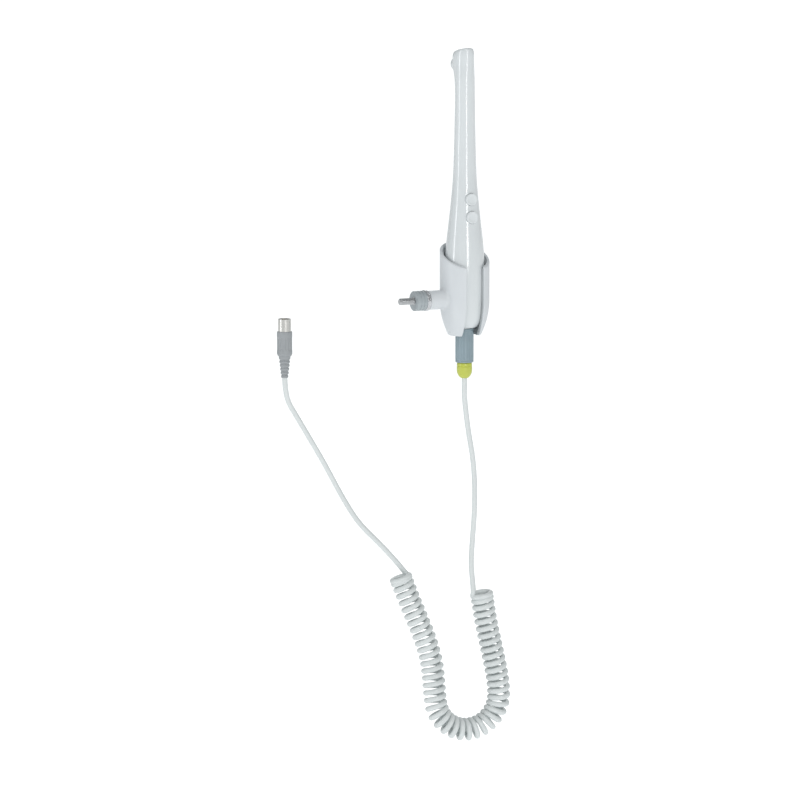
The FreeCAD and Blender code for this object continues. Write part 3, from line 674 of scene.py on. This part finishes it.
def round_cutter(radius, place, along, length):
    corners = [(0.0, 0.0, 0.0), (radius, 0.0, 0.0), (radius, length, 0.0), (0.0, length, 0.0)]
    return lathe("cutter", corners, place, along, "handpiece_white", sides=72)


def make_case():
    front = half_case("case_front", True)
    start, length = BUTTON_CUT
    cut_by(front, [
        round_cutter(BUTTON_HOLE, (AXIS_X, start, height), "Y", length) for height, _ in BUTTONS.values()
    ])
    stands_for(front, "handpiece", "front_shell")
    rear = half_case("case_rear", False)
    start, length = BEZEL_CUT
    cut_by(rear, [round_cutter(BEZEL_RADIUS + BEZEL_GAP, (AXIS_X, start, LENS_HEIGHT), "Y", length)])
    stands_for(rear, "handpiece", "rear_shell")


def make_buttons():
    """A dished cap with a rim, over the flange and the plunger that work the switch."""
    for node, (height, face) in BUTTONS.items():
        flange, end = face - FLANGE_BACK, face - PLUNGER_END
        step = flange + FLANGE_THICKNESS
        item = lathe(f"{node}_cap", [
            (0.0, 0.45, 0.0), (2.6, 0.32, 2.0), (3.5, 0.0, 0.5), (BUTTON_RADIUS, 0.0, 0.8),
            (BUTTON_RADIUS, flange, 0.0), (FLANGE_RADIUS, flange, 0.15), (FLANGE_RADIUS, step, 0.15),
            (PLUNGER_RADIUS, step, 0.3), (PLUNGER_RADIUS, end, 0.3), (0.0, end, 0.0),
        ], (AXIS_X, -face, height), "Y", "button_grey")
        stands_for(item, node, node)


def make_window_ring():
    inner, depth = BEZEL_RADIUS - 0.9, BEZEL_END - BEZEL_START
    ring = lathe("window_ring", [
        (inner, 1.0, 0.0), (inner, 0.0, 0.1), (BEZEL_RADIUS, 0.0, 0.1), (BEZEL_RADIUS, depth, 0.4),
        (inner + 0.2, depth - 0.05, 0.15), (inner, depth - 0.4, 0.1),
    ], (AXIS_X, BEZEL_START, LENS_HEIGHT), "Y", "handpiece_white", closed=True)
    stands_for(ring, "handpiece", "lens_bezel")


# ---------------------------------------------------------------- cradle and its arm

CRADLE_RADIUS = 18.2
CRADLE_CURVE = 56.8  # arc from the straight wall down to the lower end
CRADLE_STRAIGHT = -1.0
CRADLE_BOTTOM = -27.0
CRADLE_WALL = 2.2
SLOT_HALF = 7.0
RIM_MIDDLE = 31.6
RIM_SLOPE = math.tan(math.radians(26.0))
EDGE = 0.8  # rounding of the rim and the lower edge
SLOT_EDGE = 0.7  # rounding of the slot's edges
ARM_RADIUS = 7.0
ARM_START = 11.1
ARM_FILLET = 1.5
BORE_RADIUS = 3.08
RECESS_RADIUS = 4.9  # of the room for the bolt's head
RECESS_START = 19.6
RECESS_CUT = (AXIS_X - 24.0, 15.0)  # where its cutter starts, and how long it is
MAGNET_RADIUS = 3.6  # of the pocket for the parking magnet, in the back wall
MAGNET_HEIGHT = 6.0
MAGNET_START, MAGNET_END = 10.0, CRADLE_RADIUS - CRADLE_WALL + 1.5


def cradle_radius(height, inset=0.0):
    """Radius of the cradle's outside at a height, or of the surface that lies inset within it."""
    if height >= CRADLE_STRAIGHT:
        return CRADLE_RADIUS - inset
    drop = height - CRADLE_STRAIGHT
    return CRADLE_RADIUS - CRADLE_CURVE + math.sqrt((CRADLE_CURVE - inset) ** 2 - drop * drop)


def wall_side(shrink, steps=5):
    """Half of the wall's outline from its lower end to the rim, as depth below the outside, share of
    the height and what is added to it. Shrink draws the whole outline in, for the slot's round edges."""
    corner = EDGE - shrink
    leans = [math.pi / 2 * step / steps for step in range(steps + 1)]
    side = [(EDGE - corner * math.sin(lean), 0.0, EDGE - corner * math.cos(lean)) for lean in leans]
    side += [(shrink, share, EDGE * (1.0 - 2.0 * share)) for share in stepped(0.0, 1.0, 0.04)[1:-1]]
    side += [(depth, 1.0, -rise) for depth, _, rise in reversed(side[:steps + 1])]
    return side


def cradle_place(depth, share, rise, slot, way_round):
    """A point of the wall. The way round goes from 0 at one edge of the slot to 1 at the other."""
    radius = CRADLE_RADIUS - depth
    for _ in range(5):
        start = math.asin(slot / radius)
        turn = start + way_round * 2.0 * (math.pi - start)
        rim = RIM_MIDDLE - RIM_SLOPE * radius * math.cos(turn)
        height = CRADLE_BOTTOM + (rim - CRADLE_BOTTOM) * share + rise
        radius = cradle_radius(height, depth)
    return AXIS_X + radius * math.sin(turn), -radius * math.cos(turn), height


def make_cradle(columns=96, steps=5):
    """The open cup with its slot: outlines of the wall, one beside another all the way round."""
    mesh = bmesh.new()
    leans = [math.pi / 2 * step / steps for step in range(steps + 1)]
    edges = [(SLOT_HALF + SLOT_EDGE * (1 - math.cos(lean)), SLOT_EDGE * (1 - math.sin(lean)))
             for lean in leans]
    places = [(slot, shrink, 0.0) for slot, shrink in edges]
    places += [(SLOT_HALF + SLOT_EDGE, 0.0, share) for share in stepped(0.0, 1.0, 1.0 / columns)[1:-1]]
    places += [(slot, shrink, 1.0) for slot, shrink in reversed(edges)]
    loops = []
    for slot, shrink, way_round in places:
        side = wall_side(shrink)
        outer = [cradle_place(depth, share, rise, slot, way_round) for depth, share, rise in side]
        inner = [cradle_place(CRADLE_WALL - depth, share, rise, slot, way_round)
                 for depth, share, rise in side]
        loops.append([mesh.verts.new(place) for place in outer + inner[::-1]])
    for before, after in zip(loops, loops[1:]):
        bridged(mesh, before, after)
    half = len(loops[0]) // 2
    for loop in (loops[0], loops[-1]):
        bridged(mesh, loop[:half], loop[half:][::-1], around=False)
    cup = piece("cradle_cup", mesh, "cradle_white", sharp=35.0)
    cut_by(cup, [
        round_cutter(RECESS_RADIUS, (RECESS_CUT[0], 0.0, 0.0), "X", RECESS_CUT[1]),
        round_cutter(MAGNET_RADIUS, (AXIS_X, MAGNET_START, MAGNET_HEIGHT), "Y", MAGNET_END - MAGNET_START),
    ])
    stands_for(cup, "cradle", "cradle_shell")


def make_arm(sides=96, steps=6):
    """The round arm, with a fillet where it meets the cradle, and the bolt's bore and recess in it."""
    mesh = bmesh.new()
    leans = [math.pi / 2 * step / steps for step in range(steps + 1)]
    nose = 0.6
    rings = [(BORE_RADIUS, ARM_START, None)]
    rings += [(ARM_RADIUS - nose * (1 - math.sin(lean)), ARM_START + nose * (1 - math.cos(lean)), None)
              for lean in leans]
    rings += [(ARM_RADIUS + ARM_FILLET * (1 - math.cos(lean)), None, ARM_FILLET * (1 - math.sin(lean)))
              for lean in leans]
    rings += [(RECESS_RADIUS, None, 0.0), (RECESS_RADIUS, RECESS_START, None)]
    rings += [(BORE_RADIUS, RECESS_START, None)]
    made = []
    for radius, level, setback in rings:
        ring = []
        for side in range(sides):
            back, up = (radius * way(2 * math.pi * side / sides) for way in (math.cos, math.sin))
            saddle = AXIS_X - math.sqrt(cradle_radius(up) ** 2 - back * back)
            ring.append(mesh.verts.new((level if setback is None else saddle - setback, back, up)))
        made.append(ring)
    for before, after in zip(made, made[1:] + made[:1]):
        bridged(mesh, before, after)
    stands_for(piece("round_arm", mesh, "cradle_white"), "cradle", "cradle_arm")


# ---------------------------------------------------------------- swivel

THREAD_LENGTH = 12.0
THREAD_PITCH = 0.8
THREAD_ROOT, THREAD_CREST = 2.05, 2.5
SHOULDER = 3.0
HEX, HEX_DEPTH = 1.9, 1.6  # centre to a corner of the driving recess, and its depth
HEAD_START, HEAD_END = 32.6, 35.2
HEAD_RADIUS = 4.4
BUSHING_LENGTH, BUSHING_RADIUS = 8.0, 7.3
BUSHING_GROOVE = 0.35
RING_LENGTH, RING_RADIUS = 2.8, 7.7
ON_SHOULDER = SHOULDER + 0.02


def bolt_radius(radius, height, turn):
    """The screw thread on the end of the bolt, and the six flats of its recess."""
    if abs(radius - HEX) < CLOSE:
        flat = turn % (math.pi / 3) - math.pi / 6
        return HEX * math.cos(math.pi / 6) / math.cos(flat)
    if 0.4 < height < THREAD_LENGTH - 0.4:
        phase = (height / THREAD_PITCH - turn / (2 * math.pi)) % 1.0
        return THREAD_ROOT + (THREAD_CREST - THREAD_ROOT) * (1.0 - abs(2.0 * phase - 1.0))
    return radius


def make_swivel():
    turns = [(THREAD_ROOT, height, 0.0) for height in stepped(0.5, THREAD_LENGTH - 0.5, THREAD_PITCH / 6)]
    bolt = lathe("swivel_bolt", [
        (0.0, 0.0, 0.0), (THREAD_ROOT - 0.3, 0.0, 0.0), *turns, (THREAD_ROOT, THREAD_LENGTH, 0.0),
        (SHOULDER, THREAD_LENGTH, 0.15), (SHOULDER, HEAD_START, 0.0), (HEAD_RADIUS, HEAD_START, 0.1),
        (HEAD_RADIUS, HEAD_END, 0.4), (HEX, HEAD_END, 0.0), (HEX, HEAD_END - HEX_DEPTH, 0.0),
        (0.0, HEAD_END - HEX_DEPTH - 0.4, 0.0),
    ], (-THREAD_LENGTH, 0.0, 0.0), "X", "steel", sides=48, radius_at=bolt_radius)
    stands_for(bolt, "base", "pivot_bolt")
    grooves = []
    for start in (2.4, 4.9):
        for along, depth in ((0.0, 0.0), (0.2, BUSHING_GROOVE), (0.6, BUSHING_GROOVE), (0.8, 0.0)):
            grooves.append((BUSHING_RADIUS - depth, start + along, 0.1))
    bushing = lathe("swivel_sleeve", [
        (ON_SHOULDER, 0.0, 0.0), (BUSHING_RADIUS, 0.0, 0.25), *grooves,
        (BUSHING_RADIUS, BUSHING_LENGTH, 0.3), (ON_SHOULDER, BUSHING_LENGTH, 0.0),
    ], (0.0, 0.0, 0.0), "X", "swivel_dark", closed=True)
    stands_for(bushing, "base", "swivel_bushing")
    ring = lathe("friction_washer", [
        (ON_SHOULDER, 0.0, 0.0), (RING_RADIUS, 0.0, 0.4), (RING_RADIUS, 1.1, 0.1),
        (RING_RADIUS - 0.2, 1.25, 0.05), (RING_RADIUS - 0.2, 1.55, 0.05), (RING_RADIUS, 1.7, 0.1),
        (RING_RADIUS, RING_LENGTH, 0.4), (ON_SHOULDER, RING_LENGTH, 0.0),
    ], (BUSHING_LENGTH, 0.0, 0.0), "X", "bright_ring", closed=True)
    stands_for(ring, "base", "friction_ring")


# ---------------------------------------------------------------- connector under the handpiece

LOCK_RADIUS = 6.7
LOCK_LENGTH = 25.0
LOCK_BOTTOM = -47.0
LOCK_BORE, LOCK_THREAD = 4.6, 5.3  # the thread's bore is the upper part
LOCK_STEP = 12.8  # height of the step between them
BARE_RADIUS = LOCK_RADIUS - 0.01  # of the ring's ends, which have no flutes
FLUTES = 18
FLUTE_RADIUS = 0.6
FLUTE_OUT = 6.95  # axis to the middle of a flute's round
FLUTE_END = 2.2  # ring's end to the flutes
BOOT_LENGTH = 11.4
BOOT_RADIUS = 5.7
BALL_RADIUS = 7.25  # of the arc of the strain relief's round end
BALL_START = 5.8  # height at which the arc ends
NECK_RADIUS, NECK_LENGTH = 3.6, 8.0


def fluted(radius, height, turn):
    """The lock ring's outside where its flutes are, which run out softly at both ends."""
    if radius < LOCK_RADIUS - CLOSE or not FLUTE_END < height < LOCK_LENGTH - FLUTE_END:
        return radius
    step = 2 * math.pi / FLUTES
    aside = (turn + step / 2) % step - step / 2
    half = FLUTE_OUT * math.sin(aside)
    if abs(half) >= FLUTE_RADIUS:
        return radius
    cut = radius - FLUTE_OUT * math.cos(aside) + math.sqrt(FLUTE_RADIUS ** 2 - half * half)
    inward = min(1.0, (min(height, LOCK_LENGTH - height) - FLUTE_END) / 1.2)
    return radius - max(0.0, cut) * math.sin(inward * math.pi / 2)


def line_round(start, middle, end):
    """The corners of a fine groove round one end of the lock ring."""
    return (BARE_RADIUS, start, 0.0), (LOCK_RADIUS - 0.22, middle, 0.0), (BARE_RADIUS, end, 0.0)


def make_lock_ring():
    ends = [FLUTE_END, FLUTE_END + 0.2, FLUTE_END + 0.5, FLUTE_END + 0.85, FLUTE_END + 1.2]
    levels = ends + [LOCK_LENGTH / 2] + [LOCK_LENGTH - end for end in reversed(ends)]
    ring = lathe("fluted_ring", [
        (LOCK_BORE, 0.0, 0.1), (BARE_RADIUS, 0.0, 0.6), *line_round(1.2, 1.4, 1.6),
        *[(LOCK_RADIUS, level, 0.0) for level in levels],
        *line_round(LOCK_LENGTH - 1.6, LOCK_LENGTH - 1.4, LOCK_LENGTH - 1.2),
        (BARE_RADIUS, LOCK_LENGTH, 0.6), (LOCK_THREAD, LOCK_LENGTH, 0.1),
        (LOCK_THREAD, LOCK_STEP, 0.0), (LOCK_BORE, LOCK_STEP, 0.1),
    ], (AXIS_X, 0.0, LOCK_BOTTOM), "Z", "lock_slate", sides=FLUTES * 12, closed=True, radius_at=fluted)
    stands_for(ring, "lock_ring", "lock_ring")


def make_boot():
    """The lime strain relief: a ball with a lip where the cord leaves it, and a neck in the lock ring."""
    leans = stepped(math.radians(-52.0), 0.0, math.radians(5.0))
    ball = [
        (BOOT_RADIUS - BALL_RADIUS * (1 - math.cos(lean)), BALL_START + BALL_RADIUS * math.sin(lean), 0.0)
        for lean in leans
    ]
    boot = lathe("lime_boot", [
        (0.0, 0.0, 0.0), (2.65, 0.0, 0.3), (2.75, 0.35, 0.1), *ball, (BOOT_RADIUS, 8.3, 0.0),
        (BOOT_RADIUS - 0.3, 8.55, 0.1), (BOOT_RADIUS - 0.3, 8.85, 0.1), (BOOT_RADIUS, 9.1, 0.1),
        (BOOT_RADIUS - 0.25, BOOT_LENGTH, 0.9), (NECK_RADIUS, BOOT_LENGTH, 0.0),
        (NECK_RADIUS, BOOT_LENGTH + NECK_LENGTH, 0.3), (0.0, BOOT_LENGTH + NECK_LENGTH, 0.0),
    ], (AXIS_X, 0.0, LOCK_BOTTOM - 0.2 - BOOT_LENGTH), "Z", "boot_lime")
    stands_for(boot, "handpiece", "cable_boot")


# ---------------------------------------------------------------- plug behind the monitor

FAR = (-83.0, 44.0)  # the plug's axis
FAR_BOTTOM = -56.0
FAR_BOOT = 16.0
FAR_GRIP = 18.0
FAR_RADIUS = 5.6
RIBS = 14


def ribbed(radius, height, turn):
    """Finger ribs round the middle of the far plug's grip."""
    if radius < FAR_RADIUS - CLOSE or not 4.0 < height < 14.0:
        return radius
    inward = min(1.0, (5.0 - abs(height - 9.0)) / 1.2)
    return radius - 0.4 * math.sin(inward * math.pi / 2) * (0.5 + 0.5 * math.cos(RIBS * turn))


def make_far_plug():
    rings = []
    for low in stepped(1.4, 12.2, 2.7):
        for height, depth in ((low, 0.0), (low + 0.35, 0.55), (low + 1.05, 0.55), (low + 1.4, 0.0)):
            rings.append((2.6 + 1.8 * height / FAR_BOOT - depth, height, 0.12))
    boot = lathe("monitor_plug_boot", [
        (0.0, 0.0, 0.0), (2.6, 0.0, 0.3), *rings, (4.4, FAR_BOOT, 0.0), (0.0, FAR_BOOT, 0.0),
    ], (*FAR, FAR_BOTTOM), "Z", "plug_grey", sides=64)
    stands_for(boot, "base", "far_boot")
    levels = stepped(4.0, 14.0, 1.0 / 3)
    grip = lathe("monitor_plug_grip", [
        (0.0, 0.0, 0.0), (FAR_RADIUS - 0.6, 0.0, 0.4), (FAR_RADIUS, 1.5, 0.6),
        *[(FAR_RADIUS, level, 0.0) for level in levels], (FAR_RADIUS, FAR_GRIP, 0.9), (0.0, FAR_GRIP, 0.0),
    ], (*FAR, FAR_BOTTOM + FAR_BOOT), "Z", "plug_grey", sides=RIBS * 10, radius_at=ribbed)
    stands_for(grip, "base", "far_grip")


make_case()
make_buttons()
make_window_ring()
make_cradle()
make_arm()
make_swivel()
make_lock_ring()
make_boot()
make_far_plug()
